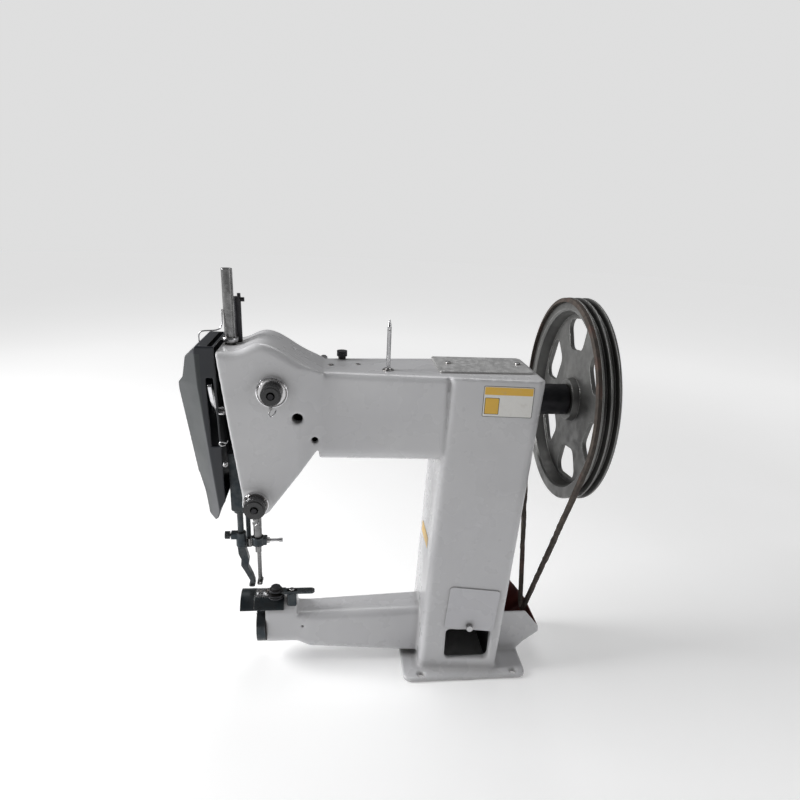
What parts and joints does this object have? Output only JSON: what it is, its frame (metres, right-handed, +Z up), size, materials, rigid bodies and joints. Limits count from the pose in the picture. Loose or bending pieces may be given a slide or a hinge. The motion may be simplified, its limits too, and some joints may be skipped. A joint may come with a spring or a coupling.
{
  "type": "leather sewing machine",
  "caption": "Cylinder-arm lockstitch machine head for leather: column base, long arm, needle and presser bars, slim lower arm, spoked belt wheel.",
  "frame": {"origin": "centre of the four base bolt holes, on the underside of the base", "axes": "+Z up; +X from the sewing head towards the handwheel, along the main shaft; -Y towards the operator"},
  "size_m": [0.6495, 0.3256, 0.68],
  "materials": {
    "body_paint": "semi-gloss",
    "cover_paint": "satin",
    "dark_steel": "satin",
    "bright_steel": "polished",
    "machined_iron": "satin",
    "black_oxide": "satin",
    "chrome": "polished",
    "bronze": "satin",
    "black_knob": "gloss",
    "belt_rubber": "matt",
    "label": "matt",
    "panel_metal": "satin"
  },
  "bodies": {
    "machine_frame": {"base_column": "body_paint", "arm_casting": "body_paint", "cylinder_arm": "body_paint", "belt_duct": "body_paint", "face_cover": "cover_paint", "presser_bracket": "dark_steel", "rear_sleeve": "black_oxide", "shaft_bushings": "bronze", "lower_rear_bearing": "bronze", "presser_tube": "bright_steel", "presser_spring": "bright_steel", "vibrator_spring_rod": "black_oxide", "pivot_studs": "bright_steel", "tension_studs": "bright_steel", "tension_discs": "chrome", "top_cover": "panel_metal", "spool_pin": "bright_steel", "oil_cap": "black_oxide", "door_screw": "bright_steel", "saddle_plate": "dark_steel", "needle_plate": "bright_steel", "shuttle_race": "dark_steel", "edge_guide_base": "dark_steel", "drive_belt": "belt_rubber", "label_plates": "label", "fixing_screws": "bright_steel"},
    "main_shaft": {"main_shaft": "bright_steel", "needle_crank": "dark_steel", "drive_eccentric": "dark_steel", "handwheel": "machined_iron", "wheel_nut": "black_oxide"},
    "crank_link": {"crank_link": "dark_steel"},
    "drive_rod": {"drive_rod": "machined_iron"},
    "needle_bar": {"needle_bar": "bright_steel", "needle_bar_collar": "dark_steel", "needle_clamp": "dark_steel", "clamp_screw": "bright_steel", "needle": "chrome"},
    "presser": {"presser_bar": "dark_steel", "presser_foot": "dark_steel", "foot_thumb_screw": "dark_steel", "lift_collar": "dark_steel"},
    "vibrator": {"vibrating_bar": "dark_steel", "vibrating_foot": "bright_steel"},
    "lifter": {"presser_lifter": "bright_steel"},
    "take_up": {"take_up_lever": "chrome"},
    "door": {"service_door": "body_paint"},
    "upper_knob": {"upper_tension_knob": "black_knob"},
    "lower_knob": {"lower_tension_knob": "black_knob"},
    "check_spring": {"check_spring": "bright_steel"},
    "edge_guide": {"edge_guide": "dark_steel"},
    "guide_roller": {"guide_roller": "black_oxide"},
    "slide_plate": {"slide_plate": "dark_steel"},
    "lower_shaft": {"lower_shaft": "bright_steel", "rocker_arm": "machined_iron", "shuttle": "bright_steel", "bobbin_case": "bright_steel"},
    "bobbin": {"bobbin": "bright_steel"},
    "feed": {"feed_bar": "machined_iron", "feed_dog": "bright_steel"}
  },
  "joints": [
    {"name": "shaft_spin", "type": "hinge", "parent": "machine_frame", "child": "main_shaft", "pos_m": [0, 0, 0.492], "axis": [1, 0, 0], "continuous": true},
    {"name": "link_swing", "type": "hinge", "parent": "main_shaft", "child": "crank_link", "pos_m": [-0.346, 0, 0.519], "axis": [1, 0, 0], "continuous": true},
    {"name": "rod_swing", "type": "hinge", "parent": "main_shaft", "child": "drive_rod", "pos_m": [-0.018, 0, 0.501], "axis": [1, 0, 0], "continuous": true},
    {"name": "needle_bar_slide", "type": "slide", "parent": "machine_frame", "child": "needle_bar", "axis": [0, 0, 1], "range_m": [-0.054, 0]},
    {"name": "presser_slide", "type": "slide", "parent": "machine_frame", "child": "presser", "axis": [0, 0, 1], "range_m": [-0.0147, 0], "deforming": ["presser_spring"]},
    {"name": "vibrator_slide", "type": "slide", "parent": "machine_frame", "child": "vibrator", "axis": [0, 0, 1], "range_m": [-0.0147, 0]},
    {"name": "lifter_turn", "type": "hinge", "parent": "machine_frame", "child": "lifter", "pos_m": [-0.32, 0.064, 0.5], "axis": [0, 1, 0], "range_deg": [0, 75]},
    {"name": "take_up_turn", "type": "hinge", "parent": "machine_frame", "child": "take_up", "pos_m": [-0.414, 0.046, 0.45], "axis": [1, 0, 0], "range_deg": [0, 33]},
    {"name": "door_turn", "type": "hinge", "parent": "machine_frame", "child": "door", "pos_m": [-0.003, -0.07135, 0.102], "axis": [-0.0847, -0.9964, 0], "range_deg": [-176, 10]},
    {"name": "upper_knob_turn", "type": "hinge", "parent": "machine_frame", "child": "upper_knob", "pos_m": [-0.326, -0.075, 0.515], "axis": [0, -1, 0], "range_deg": [-360, 360]},
    {"name": "lower_knob_turn", "type": "hinge", "parent": "machine_frame", "child": "lower_knob", "pos_m": [-0.3556, -0.076, 0.336], "axis": [0, -1, 0], "range_deg": [-360, 360]},
    {"name": "check_spring_turn", "type": "hinge", "parent": "machine_frame", "child": "check_spring", "pos_m": [-0.326, -0.0625, 0.515], "axis": [0, -1, 0], "range_deg": [-25, 5], "stiffness_Nm_per_rad": 0.02},
    {"name": "edge_guide_slide", "type": "slide", "parent": "machine_frame", "child": "edge_guide", "axis": [1, 0, 0], "range_m": [-0.006, 0.003]},
    {"name": "roller_spin", "type": "hinge", "parent": "edge_guide", "child": "guide_roller", "pos_m": [-0.335, -0.016, 0.143], "axis": [0, 0, 1], "continuous": true},
    {"name": "slide_plate_slide", "type": "slide", "parent": "machine_frame", "child": "slide_plate", "axis": [-1, 0, 0], "range_m": [0, 0.03]},
    {"name": "lower_shaft_rock", "type": "hinge", "parent": "machine_frame", "child": "lower_shaft", "pos_m": [-0.2, 0, 0.0705], "axis": [1, 0, 0], "range_deg": [-106, 0]},
    {"name": "bobbin_spin", "type": "hinge", "parent": "lower_shaft", "child": "bobbin", "pos_m": [-0.364, 0, 0.0705], "axis": [1, 0, 0], "continuous": true},
    {"name": "feed_slide", "type": "slide", "parent": "machine_frame", "child": "feed", "axis": [0, 1, 0], "range_m": [-0.004, 0.004]}
  ],
  "couplings": [
    {"joint": "link_swing", "follows": "shaft_spin", "ratio": -1},
    {"joint": "rod_swing", "follows": "shaft_spin", "ratio": -1},
    {"joint": "presser_slide", "follows": "lifter_turn", "m_per_rad": -0.0112},
    {"joint": "vibrator_slide", "follows": "lifter_turn", "m_per_rad": -0.0112}
  ]
}
